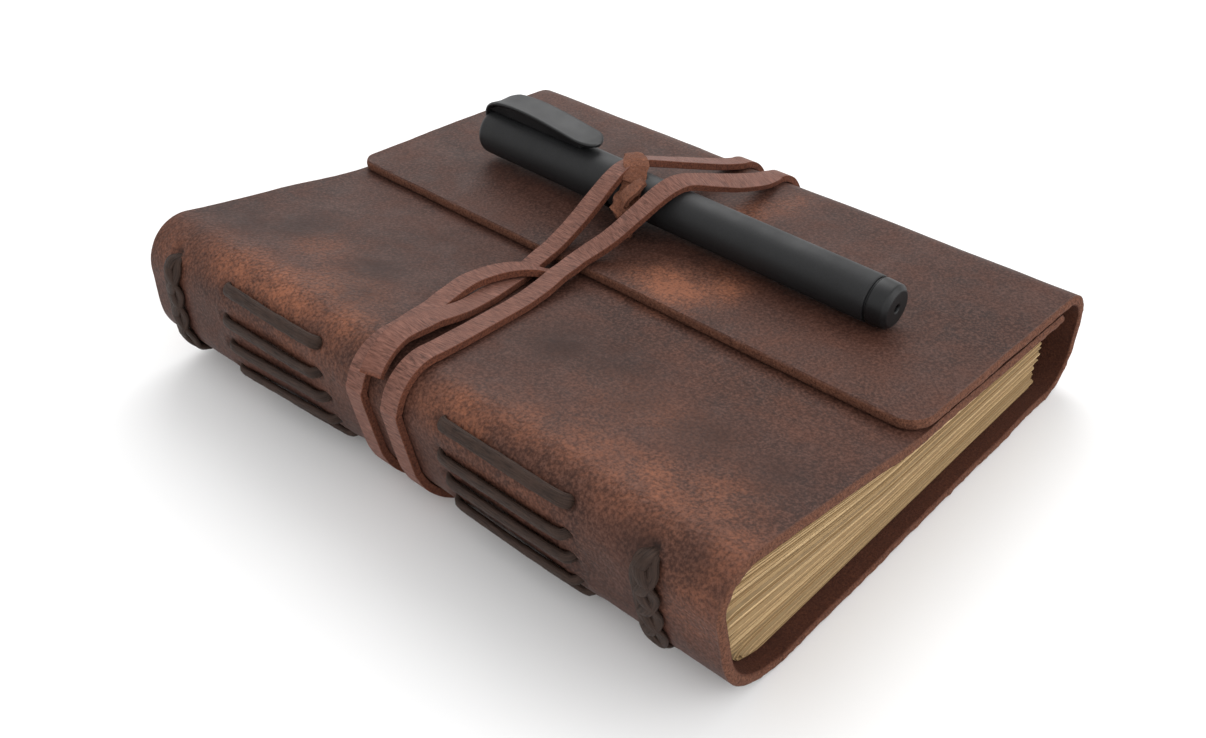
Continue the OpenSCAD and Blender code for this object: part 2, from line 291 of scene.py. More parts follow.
def bumps(tree, layers):
    """One normal from layers of (height, depth in mm, strength)."""
    normal = None
    for height, depth, strength in layers:
        inputs = {"Height": height, "Distance": depth * MM, "Strength": strength}
        if normal:
            inputs["Normal"] = normal
        normal = add(tree, "Bump", inputs).outputs[0]
    return normal


def rgb(r, g, b):
    return (r, g, b, 1)


def cover_leather():
    """Waxed pull-up leather: nearly smooth where it is dark, pebbled and orange where it is
    rubbed or bent, with a rough red-brown flesh side, fibrous cut edges and painted shade round the
    stitch holes."""
    material, tree, shader = new_material("cover_leather", Specular_IOR_Level=0.16)
    where = mark(tree, "at_rest").outputs["Vector"]
    worn = mark(tree, "worn").outputs["Fac"]
    smoky = mark(tree, "smoky").outputs["Fac"]
    flesh = mark(tree, "flesh").outputs["Fac"]
    # The last of these marks paints shade round the stitch holes.
    painted_hole_shade = mark(tree, "painted_hole_shade").outputs["Fac"]

    broad = cloud(tree, where, 30, 3, 0.55, warp=0.5)
    patchy = cloud(tree, where, 8, 5, 0.62, warp=0.4)
    streaks = cloud(tree, where, 5, 4, 0.6, (1, 0.4, 1), 0.5)
    fine = cloud(tree, where, 0.75, 3, 0.7)
    pebble = cells(tree, where, 0.95)

    tone = mix(tree, spread(tree, broad, 0.38, 0.64), rgb(0.0311, 0.0125, 0.00856),
               rgb(0.0577, 0.0234, 0.016))
    tone = mix(tree, spread(tree, patchy, 0.45, 0.72, 0, 0.55), tone, rgb(0.077, 0.0307, 0.0205))
    tone = mix(tree, spread(tree, fine, 0.46, 0.66, 0, 0.6), tone, rgb(0.126, 0.0614, 0.0459))
    tone = mix(tree, spread(tree, fine, 0.32, 0.48, 0.55, 0), tone, rgb(0.0192, 0.00864, 0.00651))
    rubbed = maths(tree, "MULTIPLY", worn, spread(tree, patchy, 0.28, 0.62, 0.4, 1.2))
    rubbed = maths(tree, "MULTIPLY", rubbed, spread(tree, streaks, 0.3, 0.6, 0.72, 1.1))
    rubbed = maths(tree, "MULTIPLY", rubbed, spread(tree, pebble, 0.2, 0.7, 1.1, 0.55))
    rubbed = maths(tree, "MULTIPLY", rubbed, spread(tree, fine, 0.34, 0.6, 0.35, 1.3))
    tone = mix(tree, maths(tree, "MINIMUM", rubbed, 1.0), tone, rgb(0.229, 0.0845, 0.0446))
    smoke = maths(tree, "MULTIPLY", smoky, spread(tree, patchy, 0.3, 0.6, 0.5, 1.1))
    tone = mix(tree, maths(tree, "MINIMUM", smoke, 0.9), tone, rgb(0.0266, 0.0118, 0.00868))
    scuffs = spread(tree, cloud(tree, where, 2.2, 5, 0.7, (0.3, 1, 0.3), 1.4), 0.68, 0.77, 0, 0.32)
    tone = mix(tree, scuffs, tone, rgb(0.178, 0.0896, 0.0682))

    fibres = cloud(tree, where, 0.55, 4, 0.75)
    suede = mix(tree, spread(tree, fibres, 0.3, 0.7), rgb(0.035, 0.012, 0.008),
                rgb(0.12, 0.043, 0.024))
    suede = mix(tree, spread(tree, patchy, 0.4, 0.7, 0, 0.5), suede, rgb(0.055, 0.02, 0.013))
    cut = mark(tree, "cut").outputs["Fac"]
    edge = mix(tree, spread(tree, fibres, 0.32, 0.68), rgb(0.05, 0.019, 0.013),
               rgb(0.215, 0.092, 0.055))
    rough_side = maths(tree, "MAXIMUM", flesh, cut)
    tone = mix(tree, flesh, tone, suede)
    tone = mix(tree, cut, tone, edge)
    # Painted shade: near black round each stitch hole, where the lace goes down into the leather.
    tone = mix(tree, painted_hole_shade, tone, rgb(0.01, 0.006, 0.005))
    tree.links.new(tone, shader.inputs["Base Color"])

    sheen = spread(tree, patchy, 0.3, 0.7, 0.5, 0.64)
    tree.links.new(maths(tree, "MAXIMUM", sheen, maths(tree, "MULTIPLY", rough_side, 0.95)),
                   shader.inputs["Roughness"])
    smooth = maths(tree, "SUBTRACT", 1.0, rough_side)
    pebbled = maths(tree, "MULTIPLY", smooth, spread(tree, worn, 0, 0.5, 0.3, 1))
    tree.links.new(bumps(tree, [
        (maths(tree, "MULTIPLY", streaks, pebbled), 0.35, 0.35),
        (maths(tree, "MULTIPLY", pebble, pebbled), 0.26, 0.9),
        (maths(tree, "MULTIPLY", fine, smooth), 0.07, 0.6),
        (maths(tree, "MULTIPLY", fibres, rough_side), 0.6, 0.9)]), shader.inputs["Normal"])
    return material


def strap_leather():
    """The same hide cut in a lace: brushed across on top, with rough sides."""
    material, tree, shader = new_material("strap_leather", Specular_IOR_Level=0.2)
    where = mark(tree, "at_rest").outputs["Vector"]
    along = mark(tree, "along").outputs["Vector"]
    cut = mark(tree, "cut").outputs["Fac"]
    brushed = cloud(tree, along, 1, 4, 0.65, (2.4, 0.3, 1), 0.4)
    patchy = cloud(tree, where, 7, 3, 0.6)
    fibres = cloud(tree, where, 0.6, 4, 0.75)
    tone = mix(tree, spread(tree, brushed, 0.34, 0.66), rgb(0.061, 0.0255, 0.0186),
               rgb(0.244, 0.111, 0.0812))
    tone = mix(tree, spread(tree, patchy, 0.35, 0.7, 0, 0.5), tone, rgb(0.152, 0.0603, 0.0406))
    side = mix(tree, spread(tree, fibres, 0.3, 0.7), rgb(0.0366, 0.0122, 0.00812),
               rgb(0.189, 0.065, 0.036))
    tree.links.new(mix(tree, cut, tone, side), shader.inputs["Base Color"])
    tree.links.new(spread(tree, cut, 0, 1, 0.6, 0.95), shader.inputs["Roughness"])
    tree.links.new(bumps(tree, [(brushed, 0.25, 0.8), (fibres, 0.25, 0.6)]),
                   shader.inputs["Normal"])
    return material


def root_leather():
    """The strap's flesh side: torn red-brown suede."""
    material, tree, shader = new_material("root_leather", Roughness=0.95)
    where = mark(tree, "at_rest").outputs["Vector"]
    fibres = cloud(tree, where, 0.7, 5, 0.8)
    clumps = cloud(tree, where, 2.4, 3, 0.6)
    tone = mix(tree, spread(tree, fibres, 0.3, 0.7), rgb(0.06, 0.019, 0.01),
               rgb(0.27, 0.1, 0.05))
    tone = mix(tree, spread(tree, clumps, 0.4, 0.7, 0, 0.6), tone, rgb(0.12, 0.042, 0.022))
    tree.links.new(tone, shader.inputs["Base Color"])
    tree.links.new(bumps(tree, [(clumps, 0.8, 0.7), (fibres, 0.5, 0.9)]),
                   shader.inputs["Normal"])
    return material


def cream_paper():
    """Uncoated cream paper: each folio its own tone, with a soft tooth and darker edges."""
    material, tree, shader = new_material("cream_paper", Roughness=0.9, Specular_IOR_Level=0.2)
    where = mark(tree, "at_rest").outputs["Vector"]
    tone = mark(tree, "tone").outputs["Fac"]
    cut = mark(tree, "cut").outputs["Fac"]
    mottled = cloud(tree, where, 5, 4, 0.6)
    tooth = cloud(tree, where, 0.5, 3, 0.7)
    sheet = mix(tree, tone, rgb(0.386, 0.273, 0.146), rgb(0.538, 0.395, 0.231))
    sheet = mix(tree, spread(tree, mottled, 0.35, 0.7, 0, 0.35), sheet, rgb(0.302, 0.198, 0.1))
    edge = mix(tree, tone, rgb(0.269, 0.17, 0.077), rgb(0.554, 0.395, 0.212))
    edge = mix(tree, spread(tree, tooth, 0.4, 0.75, 0, 0.5), edge, rgb(0.185, 0.115, 0.0508))
    tree.links.new(mix(tree, cut, sheet, edge), shader.inputs["Base Color"])
    tree.links.new(bumps(tree, [(mottled, 0.1, 0.3), (tooth, 0.06, 0.6)]),
                   shader.inputs["Normal"])
    return material


def waxed_lace():
    """Dark waxed sewing lace with fine fibres along it."""
    material, tree, shader = new_material("waxed_lace", Specular_IOR_Level=0.15)
    along = mark(tree, "along").outputs["Vector"]
    where = mark(tree, "at_rest").outputs["Vector"]
    strands = cloud(tree, along, 1, 3, 0.6, (0.25, 3.2, 3.2), 0.3)
    wax = cloud(tree, where, 3, 4, 0.65)
    tone = mix(tree, spread(tree, strands, 0.3, 0.7), rgb(0.0136, 0.00777, 0.00592),
               rgb(0.0528, 0.0311, 0.0229))
    tone = mix(tree, spread(tree, wax, 0.45, 0.75, 0, 0.5), tone, rgb(0.064, 0.0392, 0.0311))
    tree.links.new(tone, shader.inputs["Base Color"])
    tree.links.new(spread(tree, wax, 0.3, 0.7, 0.5, 0.75), shader.inputs["Roughness"])
    tree.links.new(bumps(tree, [(strands, 0.3, 0.8), (wax, 0.15, 0.4)]), shader.inputs["Normal"])
    return material


def plastic(name, dark, light, rough, depth):
    """Moulded black plastic with a faint texture and a little handling wear."""
    material, tree, shader = new_material(name, Specular_IOR_Level=0.34)
    where = mark(tree, "at_rest").outputs["Vector"]
    texture = cloud(tree, where, 0.35, 3, 0.7)
    handled = cloud(tree, where, 12, 4, 0.6)
    tree.links.new(mix(tree, spread(tree, texture, 0.35, 0.75), dark, light),
                   shader.inputs["Base Color"])
    tree.links.new(spread(tree, handled, 0.3, 0.7, rough * 0.88, rough * 1.15),
                   shader.inputs["Roughness"])
    tree.links.new(bumps(tree, [(texture, depth, 0.5)]), shader.inputs["Normal"])
    return material


def turned_steel():
    """Bright steel with fine turning marks round the pen's axis."""
    material, tree, shader = new_material("turned_steel", Metallic=1.0)
    where = mark(tree, "at_rest").outputs["Vector"]
    rings = cloud(tree, where, 0.2, 2, 0.5, (0.05, 1, 0.05))
    tree.links.new(mix(tree, rings, rgb(0.5, 0.51, 0.53), rgb(0.72, 0.73, 0.75)),
                   shader.inputs["Base Color"])
    tree.links.new(spread(tree, rings, 0.3, 0.7, 0.2, 0.34), shader.inputs["Roughness"])
    tree.links.new(bumps(tree, [(rings, 0.02, 0.5)]), shader.inputs["Normal"])
    return material


LEATHER_LOOK = cover_leather()
STRAP_LOOK = strap_leather()
ROOT_LOOK = root_leather()
PAPER_LOOK = cream_paper()
LACE_LOOK = waxed_lace()
PEN_LOOK = plastic("matte_black", rgb(0.008, 0.0082, 0.0088), rgb(0.0145, 0.0148, 0.0158), 0.55, 0.02)
TRIM_LOOK = plastic("satin_black", rgb(0.0048, 0.005, 0.0055), rgb(0.0085, 0.0089, 0.0096), 0.46, 0.01)
STEEL_LOOK = turned_steel()
REFILL_LOOK = plastic("milky_plastic", rgb(0.55, 0.57, 0.6), rgb(0.66, 0.68, 0.7), 0.4, 0.01)


# ---------- leather cover ----------

def spine_angle(z):
    """Outward direction of the spine's surface at a height, in degrees."""
    flank = math.sin(math.radians(TANGENT))
    if z < SPINE_LOW[1] + SPINE_LOW_R * flank:
        return 180 - math.degrees(math.asin((z - SPINE_LOW[1]) / SPINE_LOW_R))
    if z > SPINE_TOP[1] + SPINE_TOP_R * flank:
        return 180 - math.degrees(math.asin((z - SPINE_TOP[1]) / SPINE_TOP_R))
    return TANGENT


def belly(y, z):
    """How much further out the spine's lower half is towards its far end."""
    far = max(0, min(1, (y - 12) / 75))
    low = max(0, min(1, z / 5))
    return 4.3 * far * far * (3 - 2 * far) * low * low * (3 - 2 * low) * bell(z - 14.5, 15)


def spine_point(z, y, lift=0.0):
    """A point on the spine's outer surface, or lift above it, and the way out of the surface."""
    a = math.radians(spine_angle(z))
    out = Vector((math.cos(a), 0, math.sin(a)))
    flank = math.sin(math.radians(TANGENT))
    low_end = SPINE_LOW[1] + SPINE_LOW_R * flank
    if z < low_end:
        x = SPINE_LOW[0] + SPINE_LOW_R * out.x
    elif z > SPINE_TOP[1] + SPINE_TOP_R * flank:
        x = SPINE_TOP[0] + SPINE_TOP_R * out.x
    else:
        x = SPINE_LOW[0] + SPINE_LOW_R * out.x - (z - low_end) * math.tan(math.radians(TANGENT - 180))
    return Vector((x - belly(y, z), y, z)) + out * lift, out


HOLES = [spine_point(z, y + side * length / 2)[0]
         for z in ROWS for y, length in STITCHES.values() for side in (-1, 1)]
HOLES += [spine_point(z, y)[0] for z in (ROWS[0], ROWS[-1] + 1.4) for y in CHAINS.values()]


def wrap_y(wrap, x):
    """Where a strap's wrap is along Y under the book."""
    return wrap[0] + (wrap[0] - wrap[1]) / (GROOVE_X[0] - GROOVE_X[1]) * (x - GROOVE_X[0])


def groove(x, y, z):
    """How far up the strap presses the leather under the book."""
    rise = 0
    for wrap in (FIRST_WRAP, SECOND_WRAP):
        off = abs(y - wrap_y(wrap, x)) - STRAP_W / 2
        rise = max(rise, GROOVE_TOP * min(1, max(0, 1.45 - off)) - z)
    return rise if z < GROOVE_TOP else 0


def sway(x, y, z):
    """The leather's gentle unevenness, the same on both of its sides."""
    lift = 0.28 * grain(x, y, z, 26) + 0.1 * grain(x, y, z, 9, 2)
    lift += 0.9 * bell(x + 38, 24) * bell(y + 97, 16) + 0.5 * bell(x + 30, 22) * bell(y - 97, 12)
    return lift * min(1, max(0, z / 8))


def pucker(p):
    """Depth of the dimple that the sewing pulls into the spine at p, and how near its hole is."""
    depth, near = 0, 0
    for hole in HOLES:
        d = (p - hole).length
        if d < 6:
            depth += -0.95 * bell(d, 1.5) + 0.3 * bell(d - 2.9, 1.1)
            near = max(near, bell(d, 1.15))
    return depth, near


# Where the leather is rubbed pale: centre, reach along each axis, strength
WORN = [
    ((-76, 86, 38), (7, 14, 8), 0.45),
    ((-73, 62, 41), (8, 15, 5), 0.75),
    ((-72, 44, 42), (8, 17, 5), 1.0),
    ((-64, 36, 42), (12, 12, 4), 0.7),
    ((-52, 56, 40), (9, 10, 4), 0.4),
    ((-71, 22, 42), (7, 9, 5), 0.7),
    ((-77, 34, 34), (6, 30, 9), 0.3),
    ((-75, -22, 40), (7, 12, 6), 0.75),
    ((-70, -36, 42), (8, 13, 5), 0.45),
    ((-65, -52, 42), (10, 14, 4), 0.5),
    ((-66, -66, 42), (10, 12, 5), 0.75),
    ((-62, -78, 41), (13, 11, 5), 0.6),
    ((-70, -91, 41), (9, 8, 7), 0.6),
    ((-78, -88, 32), (6, 9, 12), 0.4),
    ((-77, -40, 34), (6, 24, 9), 0.25),
    ((-46, -52, 38), (12, 20, 5), 0.28),
    ((0, -18, 35), (8, 11, 4), 1.25),
    ((6, -27, 35), (10, 7, 4), 1.0),
    ((47, -8, 33), (9, 6, 4), 0.6),
    ((58, -13, 33), (9, 5, 4), 0.4),
    ((-12, -60, 34), (30, 40, 5), 0.12),
    ((75, 40, 26), (9, 40, 10), 0.25),
]
# Where it is darkened, in the same way
SMOKY = [
    ((-57, 80, 40), (7, 11, 5), 0.6),
    ((-48, 70, 39), (9, 9, 5), 0.75),
    ((-60, 31, 41), (6, 6, 4), 0.7),
    ((-48, 38, 39), (9, 9, 5), 0.75),
    ((-24, 40, 35), (16, 16, 5), 0.3),
    ((-38, -17, 37), (13, 9, 5), 0.7),
    ((-34, -30, 37), (12, 11, 5), 0.55),
    ((-44, -45, 38), (9, 7, 4), 0.5),
    ((-43, -62, 38), (10, 9, 4), 0.65),
    ((-44, -82, 38), (9, 7, 5), 0.5),
    ((-77, -74, 38), (4, 5, 6), 0.5),
    ((-75, -86, 41), (5, 4, 4), 0.45),
    ((20, -40, 35), (14, 20, 5), 0.25),
    ((35, 50, 34), (20, 26, 5), 0.25),
]


def spotted(spots, x, y, z):
    total = 0
    for centre, reach, strength in spots:
        far = sum(((a - b) / r) ** 2 for a, b, r in zip((x, y, z), centre, reach))
        total = max(total, strength * math.exp(-far))
    return total


def corner_cut(distance, radius):
    """How far the outline draws in, at a distance from a rounded corner's own end."""
    d = min(distance, radius)
    return radius - math.sqrt(max(0, radius ** 2 - (radius - d) ** 2))


ROWS_N = round(2 * HALF_L / GRID)
CUT_ROUND = 0.4
# A cut edge, seen end on: (how far in from the cut, share of the thickness down)
CUT_EDGE = [(0.06, 0.2), (-0.12, 0.5), (0.06, 0.8)]


def cut_line(side, travelled, corners):
    """Where the leather's cut end is along Y: nearly straight, drawn in at a rounded corner."""
    end = HALF_L - 0.2 + 0.4 * grain(travelled, 40 * side, 3, 21) + 0.1 * grain(travelled, side, 5, 2.5)
    if corners:
        end -= corner_cut(travelled, corners[side > 0])
    return side * end


def leather_ring(here, out, travelled, corners, squeeze, cut):
    """Points and marks of one slice across the leather: along its outer face, round the far cut,
    back along the inner face and round the near cut."""
    near, far = cut_line(-1, travelled, corners), cut_line(1, travelled, corners)
    ys = [near + CUT_ROUND + (far - near - 2 * CUT_ROUND) * k / ROWS_N for k in range(ROWS_N + 1)]
    ys.insert(1, near + 2.2 * CUT_ROUND)
    ys.insert(-1, far - 2.2 * CUT_ROUND)
    ring = [(y, 0.0, 0, cut if 0 < k < len(ys) - 1 else 0.8) for k, y in enumerate(ys)]
    ring += [(far - inset, down, down > 0.7, 1) for inset, down in CUT_EDGE]
    ring += [(y, 1.0, 1, cut) for y in reversed(ys)]
    ring += [(near + inset, down, down > 0.7, 1) for inset, down in reversed(CUT_EDGE)]
    points, marks = [], []
    for y, down, flesh, edge in ring:
        depth = LEATHER * (0.5 + (down - 0.5) * squeeze)
        flat = here - out * depth
        p = Vector((flat.x, y, flat.z)) + out * sway(flat.x, y, flat.z)
        if here.x < SPINE_LOW[0]:
            p.x -= belly(y, flat.z)
        near_hole = 0
        if down == 0:
            if here.x < -60:
                dip, near_hole = pucker(here + Vector((-belly(y, here.z), y, 0)))
                p += out * dip
            p.z += groove(p.x, y, p.z)
        if edge == 1:
            p += Vector((0.12 * grain(p.x, y, p.z, 0.9, 4), 0.25 * grain(p.x, y, p.z, 1.4, 5),
                         0.14 * grain(p.x, y, p.z, 1.1, 6)))
        points.append(p)
        shown = (spotted(WORN, *p), spotted(SMOKY, *p)) if down == 0 else (0, 0)
        # near_hole becomes the painted shade round the stitch holes.
        marks.append(shown + (flesh, edge, near_hole))
    return points, marks


def end_faces(first, count, forward):
    """The cut face at one end of a panel, from its outer row to its inner one."""
    outer = [first + k for k in range(count)]
    inner = [first + count + len(CUT_EDGE) + count - 1 - k for k in range(count)]
    far_cut = [outer[-1] + k for k in range(len(CUT_EDGE) + 2)]
    near_cut = [inner[0] + k for k in range(len(CUT_EDGE) + 1)] + [outer[0]]
    faces = [(a, b, d, c) for a, b, c, d in zip(outer, outer[1:], inner, inner[1:])]
    faces += [tuple(far_cut), tuple(near_cut)]
    return faces if forward else [f[::-1] for f in faces]


def leather(name, path, corners=None, free=None):
    """A panel of leather whose outer surface follows path, clockwise round the book seen from
    its near end. free is 0 or -1, its first or last end, where that end is a cut edge, and
    corners are the (near, far) radii of a first end's corners."""
    if free == 0:
        path = [path[0], path[0].lerp(path[1], 0.3)] + path[1:]
    if free == -1:
        path = path[:-1] + [path[-1].lerp(path[-2], 0.3), path[-1]]
    last = len(path) - 1
    points, marks, travelled = [], [], 0
    for i, p in enumerate(path):
        travelled += (p - path[i - 1]).length if i else 0
        along = heading(path, i)
        at_end = free is not None and i == (0 if free == 0 else last)
        ring = leather_ring(Vector((p.x, 0, p.y)), Vector((-along.y, 0, along.x)), travelled,
                            corners, 0.6 if at_end else 1, 1 if at_end else 0)
        points += ring[0]
        marks += ring[1]
    ring_n = len(points) // len(path)
    count = (ring_n - 2 * len(CUT_EDGE)) // 2
    faces = tube_faces(len(path), ring_n)[:-2]
    faces += end_faces(0, count, True) + end_faces(last * ring_n, count, False)
    # The last mark paints shade round the stitch holes.
    keys = ("worn", "smoky", "flesh", "cut", "painted_hole_shade")
    named = {key: [float(m[k]) for m in marks] for k, key in enumerate(keys)}
    return make_piece(name, points, faces, LEATHER_LOOK, named)


def make_cover():
    """One hide in three panels: the flap with the fore-edge, the back, the spine with the front."""
    over = relaxed(even(FLAP_TOP, GRID), 40)
    fore = even(arc(FORE_TOP, FORE_R, FLAP_ANGLE, 0) + arc(FORE_LOW, FORE_R, 0, -90), GRID)
    flap = leather("leather_flap_and_fore_edge", over + fore[1:], corners=(7.5, 4), free=0)
    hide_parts("flap", "fore_edge_wrap")
    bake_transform(flap)

    back = leather("leather_back", even([(FORE_LOW[0], 0), (SPINE_LOW[0], 0)], GRID))
    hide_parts("back_cover")
    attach(back, "book")

    spine = even(arc(SPINE_LOW, SPINE_LOW_R, 270, TANGENT)
                 + arc(SPINE_TOP, SPINE_TOP_R, TANGENT, COVER_ANGLE), GRID)
    front = relaxed(even(COVER_TOP, GRID), 60)
    front = leather("leather_spine_and_front", spine + front[1:], free=-1)
    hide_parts("spine_leather", "front_cover")
    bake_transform(front)


# ---------- paper ----------

PAGE_END = 0.35
BLOCK_FILL = 0.93


def boundary(k, x):
    """Height of the face under section k at x."""
    return BLOCK_BOTTOM + (level(BLOCK_TOP, x) - BLOCK_BOTTOM) * k / SECTIONS


def fold_x(k, z, share):
    """Where a folio's fold is at a height: it follows the spine's inside."""
    r = SPINE_LOW_R - LEATHER
    drop = max(1, min(r, SPINE_LOW[1] - z))
    inside = SPINE_LOW[0] - math.sqrt(max(1, r ** 2 - drop ** 2))
    if z > SPINE_LOW[1]:
        inside = spine_point(z, 0, -LEATHER)[0].x
    return inside + 0.5 + (1 - share) * 3


def folio(k, inner, outer, tone, pull, seed):
    """A folded sheet of section k: it goes back along the lower half of the section, round the
    fold and out again. inner and outer are shares of the section's half height."""
    fore = BLOCK_FORE_X - pull
    turns = [math.radians(270 - 180 * i / 8) for i in range(1, 8)]
    straight = FOLD_X[k] + 1.5
    xs = [fore + (straight - fore) * i / 22 for i in range(23)]
    line = [(x, -1) for x in xs] + [(None, math.sin(a)) for a in turns] + [(x, 1) for x in reversed(xs)]
    ends = [-PAGE_HALF_L + abs(pull) * 0.9, PAGE_HALF_L - abs(pull) * 0.7]
    ys = [ends[0], ends[0] + PAGE_END, -70, 0, 70, ends[1] - PAGE_END, ends[1]]
    points, marks = [], []
    for x, up in line:
        at = straight if x is None else x
        half = (boundary(k + 1, at) - boundary(k, at)) / 2
        mid = (boundary(k + 1, at) + boundary(k, at)) / 2
        for share, row in ((outer, ys), (inner, ys[::-1])):
            z = mid + up * share * half * BLOCK_FILL
            back = x
            if x is None:
                near = math.sqrt(max(0, 1 - up * up)) ** 0.7
                back = straight + (min(straight, fold_x(k, z, share)) - straight) * near
            for y in row:
                loose = bell(abs(y) - PAGE_HALF_L, 16)
                ripple = 0.2 * loose * grain(at, up * 30 + seed, y, 17, seed)
                droop = -0.5 * loose * (k + 1) / SECTIONS * bell(at + 30, 35)
                points.append(Vector((back, y, z + ripple + droop)))
                marks.append((tone, float(abs(y - ends[0]) < 0.01 or abs(y - ends[1]) < 0.01)))
    return points, marks, tube_faces(len(line), 2 * len(ys))


def make_sections():
    dice = random.Random(7)
    for k in range(SECTIONS):
        points, marks, faces = [], [], []
        for j in range(FOLIOS):
            thick = dice.choice((0.93, 0.88, 0.8, 0.62))
            inner = (j + dice.uniform(0, 1 - thick)) / FOLIOS
            made = folio(k, inner, inner + thick / FOLIOS, dice.random(), dice.uniform(0, 1.6),
                         k * 20 + j)
            faces += [tuple(v + len(points) for v in f) for f in made[2]]
            points += made[0]
            marks += made[1]
        named = {"tone": [m[0] for m in marks], "cut": [m[1] for m in marks]}
        node = f"section_{k + 1}"
        piece = make_piece(node + "_leaves", points, faces, PAPER_LOOK, named, 35)
        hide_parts(node)
        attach(piece, "book")


# ---------- sewing ----------

def ribbon(name, runs, material, cut_sides=False, crease=60):
    """One piece from runs of (path, sides, section, swell). Each point is marked with its place
    along and across its run, and on a flat strip its sides are marked as cut."""
    points, faces, place, cut = [], [], [], []
    for path, sides, section, swell in runs:
        made, made_faces = sweep(path, sides, section, swell)
        faces += [tuple(v + len(points) for v in f) for f in made_faces]
        points += made
        travelled, own = 0, 9 * len(faces) % 50
        for i, p in enumerate(path):
            travelled += (p - path[i - 1]).length if i else 0
            place += [(travelled, a, b + own) for a, b in section]
            at_end = i in (0, len(path) - 1) and abs(p.x - STRAP_JOIN_X) > 2
            cut += [float(cut_sides and (at_end or m not in STRIP_TOP)) for m in range(len(section))]
    return make_piece(name, points, faces, material, {"along": place, "cut": cut}, crease)


def long_stitch(z, y, length, seed):
    """A flat lace along the spine, both its ends down in their holes."""
    out = spine_point(z, y)[1]
    across = out.cross(Vector((0, 1, 0)))
    half = length / 2
    rise = LACE_T / 2 + 0.1
    shape = [(-half + 0.2, -1.9), (-half + 0.25, -0.7), (-half + 1.1, rise - 0.35), (-half + 2.8, rise),
             (-half + 8, rise + 0.1), (0, rise + 0.2), (half - 8, rise + 0.1), (half - 2.8, rise),
             (half - 1.1, rise - 0.35), (half - 0.25, -0.7), (half - 0.2, -1.9)]
    path = []
    for along, lift in shape:
        drift = 0.28 * grain(along, seed * 9, 0, 11, 1)
        path.append(spine_point(z, y + along, lift)[0] + across * drift)
    path = curved(path, 0.8)
    swell = [1 + 0.08 * grain(p.y, seed * 5, 2, 3, 3) for p in path]
    return path, [across] * len(path), oval(LACE_W, LACE_T, 14), swell


def make_long_stitches():
    for end, (y, length) in STITCHES.items():
        runs = [long_stitch(z, y, length, i + y) for i, z in enumerate(ROWS)]
        piece = ribbon("long_stitches_" + end + "_lace", runs, LACE_LOOK)
        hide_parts("long_stitches_" + end)
        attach(piece, "book")


def make_chains():
    """A plait of three strands that climbs the spine near each end."""
    plait_w, strand_w, strand_t = 2, 3.3, 1.6
    turns, steps = 1.6, 110
    for end, y in CHAINS.items():
        runs = []
        for phase in range(3):
            path = []
            for i in range(steps + 1):
                share = i / steps
                z = ROWS[0] - 0.4 + (ROWS[-1] + 1.6 - ROWS[0]) * share
                turn = 2 * math.pi * (share * turns + phase / 3)
                sink = -3.2 * (bell(share, 0.05) + bell(1 - share, 0.04))
                tight = 1 - 0.75 * (bell(share, 0.12) + bell(1 - share, 0.07))
                lift = 1.05 - 0.5 * bell(share, 0.16) + 0.45 * math.cos(2 * turn) + sink
                path.append(spine_point(z, y + plait_w * math.sin(turn) * tight, lift)[0])
            path = even(path, 0.6)
            runs.append((path, [Vector((0, 1, 0))] * len(path), oval(strand_w, strand_t, 12), None))
        piece = ribbon("chain_stitch_" + end + "_lace", runs, LACE_LOOK)
        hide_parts("chain_stitch_" + end)
        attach(piece, "book")


def make_inner_threads():
    """One thread along the fold of each section."""
    runs = []
    for k in range(SECTIONS):
        x = FOLD_X[k] + 1.5
        z = (boundary(k, x) + boundary(k + 1, x)) / 2
        path = [Vector((x, y, z + 0.08 * math.sin(y / 3)))
                for y in range(CHAINS["near"], CHAINS["far"] + 1, 4)]
        runs.append((path, [Vector((1, 0, 0))] * len(path), oval(1.2, 1.2, 10), None))
    piece = ribbon("inner_threads_lace", runs, LACE_LOOK)
    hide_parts("inner_threads")
    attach(piece, "book")


# ---------- strap ----------

STRIP = rounded_strip(STRAP_W, STRAP_T, 0.16)[::-1]
# The places in STRIP on its smooth top, and the angle that its edges stay sharp at
STRIP_TOP = (3, 4, 5)
STRAP_CREASE = 28


def strap_run(points, roll=()):
    """A strap laid along points of its underside, level across unless roll gives its turn, in
    degrees towards -Y, at each of them."""
    path = curved(points, 1.1)
    roll = list(roll) + [0] * len(points)
    at, sides = 0, []
    for i, p in enumerate(path):
        while at < len(points) - 2 and (p - Vector(points[at + 1])).dot(
                Vector(points[at + 1]) - Vector(points[at])) > 0:
            at += 1
        a, b = Vector(points[at]), Vector(points[at + 1])
        share = max(0, min(1, (p - a).dot(b - a) / (b - a).length_squared))
        turn = math.radians(roll[at] + (roll[at + 1] - roll[at]) * share)
        across = Vector((0, 1, 0))
        up = squared(path, i, across)[1]
        sides.append(across * math.cos(turn) + up * math.sin(turn))
    swell = [1 + 0.03 * grain(p.x, p.y, p.z, 5, 8) for p in path]
    return path, sides, STRIP, swell


def halves(run, x):
    """One strap run as two, parted where it passes x. The point at the parting is in both."""
    path, sides, section, swell = run
    k = next(i for i, p in enumerate(path) if p.x > x and p.z > BLOCK_TOP[2][1])
    return ((path[:k + 1], sides[:k + 1], section, swell[:k + 1]),
            (path[k:], sides[k:], section, swell[k:]))


def on_cover(points):
    return [(x, y, level(COVER_TOP, x) + STRAP_LIFT + lift) for x, y, lift in points]


